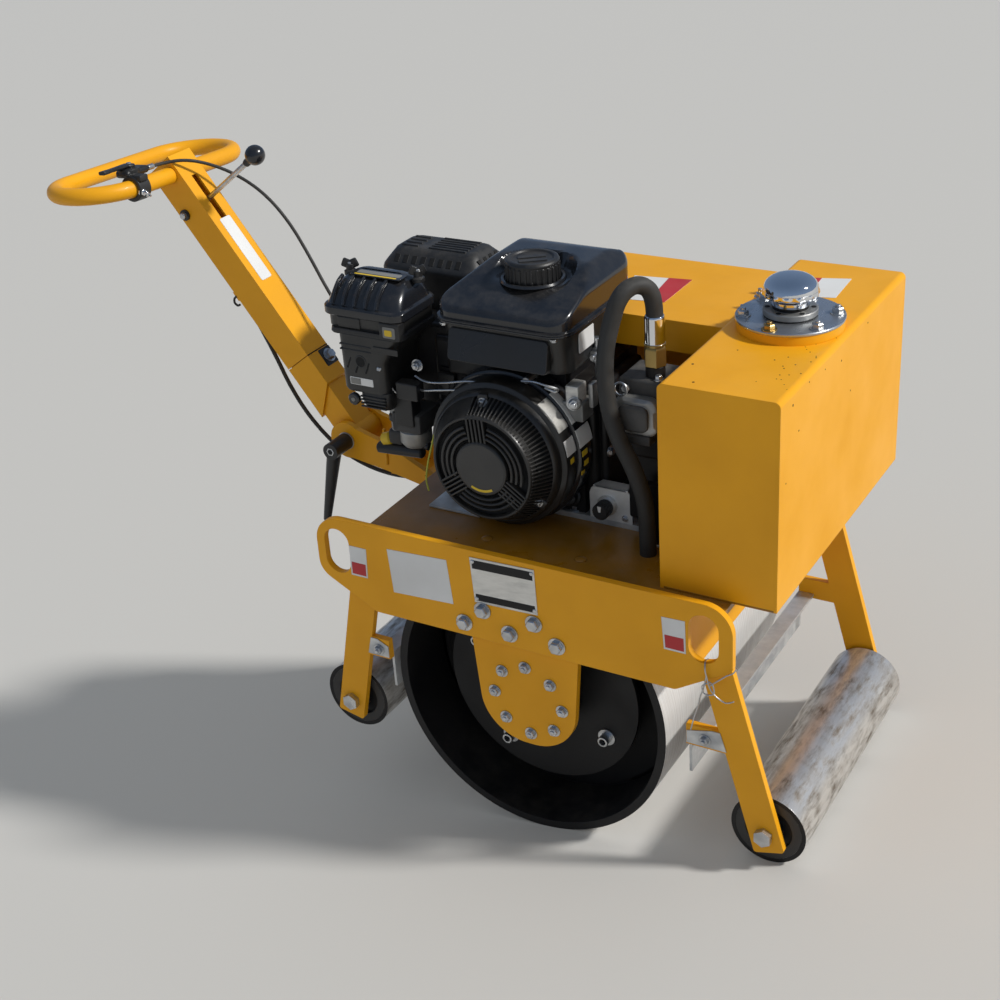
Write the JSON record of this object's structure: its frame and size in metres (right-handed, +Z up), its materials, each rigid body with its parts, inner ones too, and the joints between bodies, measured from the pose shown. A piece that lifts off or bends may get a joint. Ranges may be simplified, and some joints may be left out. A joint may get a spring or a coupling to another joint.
{
  "type": "walk-behind single-drum road roller",
  "caption": "Walk-behind vibratory road roller: wide steel drum between yellow side plates, petrol engine, oil tank, support rollers and a folding steering handle with an oval ring.",
  "frame": {"origin": "on the ground under the middle of the drum", "axes": "+X forward to the oil tank and front support roller, +Y to the machine's left, +Z up; the machine stands tipped on its drum and front roller"},
  "size_m": [1.1489, 0.5, 0.9889],
  "materials": {
    "yellow_paint": "glossy",
    "worn_steel": "worn, streaked",
    "black_paint": "satin",
    "rubber": "matte",
    "zinc_steel": "galvanised",
    "chrome": "polished",
    "cast_metal": "cast, dark",
    "brass": "plated",
    "black_gloss": "glossy",
    "black_plastic": "satin"
  },
  "bodies": {
    "frame": {"air_cleaner_body": "black_plastic", "air_cleaner_cover": "black_plastic", "belt_guard": "yellow_paint", "blower_housing": "black_gloss", "breather_cap": "chrome", "carburettor": "cast_metal", "clamp_lever": "black_plastic", "control_bracket": "zinc_steel", "control_cable": "rubber", "control_knob": "black_plastic", "cross_wall": "yellow_paint", "deck_plate": "yellow_paint", "drive_cover": "yellow_paint", "drum_hangers": "yellow_paint", "drum_spindles": "black_paint", "engine_base": "zinc_steel", "engine_block": "cast_metal", "engine_pulley": "cast_metal", "exhaust_flange": "yellow_paint", "front_axle": "zinc_steel", "front_legs": "yellow_paint", "front_scraper": "zinc_steel", "fuel_cap": "black_plastic", "fuel_tank": "black_gloss", "handle_bracket": "yellow_paint", "hydraulic_hose": "rubber", "hydraulic_pump": "cast_metal", "muffler": "black_plastic", "oil_tank": "yellow_paint", "pivot_pin": "zinc_steel", "pump_fitting": "brass", "rear_axle": "zinc_steel", "rear_legs": "yellow_paint", "rear_scraper": "zinc_steel", "recoil_starter": "black_plastic", "side_plate_left": "yellow_paint", "side_plate_right": "yellow_paint", "tank_lid": "zinc_steel", "throttle_cable": "rubber"},
    "drum": {"carrier_discs": "black_paint", "drum_shell": "worn_steel", "drum_webs": "black_paint", "rubber_mounts": "rubber"},
    "front_roller": {"front_roller": "worn_steel", "front_roller_ends": "black_paint"},
    "rear_roller": {"rear_roller": "worn_steel", "rear_roller_ends": "black_paint"},
    "handle": {"column_core": "zinc_steel", "column_sleeve": "yellow_paint", "column_tube": "yellow_paint", "control_lever": "black_plastic", "handle_ring": "yellow_paint", "throttle_lever": "black_plastic"}
  },
  "joints": [
    {"name": "drum_spin", "type": "hinge", "parent": "frame", "child": "drum", "pos_m": [0, 0, 0.2125], "axis": [0, 1, 0], "continuous": true},
    {"name": "front_roller_spin", "type": "hinge", "parent": "frame", "child": "front_roller", "pos_m": [0.3362, 0, 0.053], "axis": [0, 1, 0], "continuous": true},
    {"name": "rear_roller_spin", "type": "hinge", "parent": "frame", "child": "rear_roller", "pos_m": [-0.31162, 0, 0.18182], "axis": [0, 1, 0], "continuous": true},
    {"name": "handle_fold", "type": "hinge", "parent": "frame", "child": "handle", "pos_m": [-0.34754, 0, 0.53072], "axis": [0, 1, 0], "range_deg": [-20, 35], "deforming": ["throttle_cable", "control_cable"]}
  ]
}
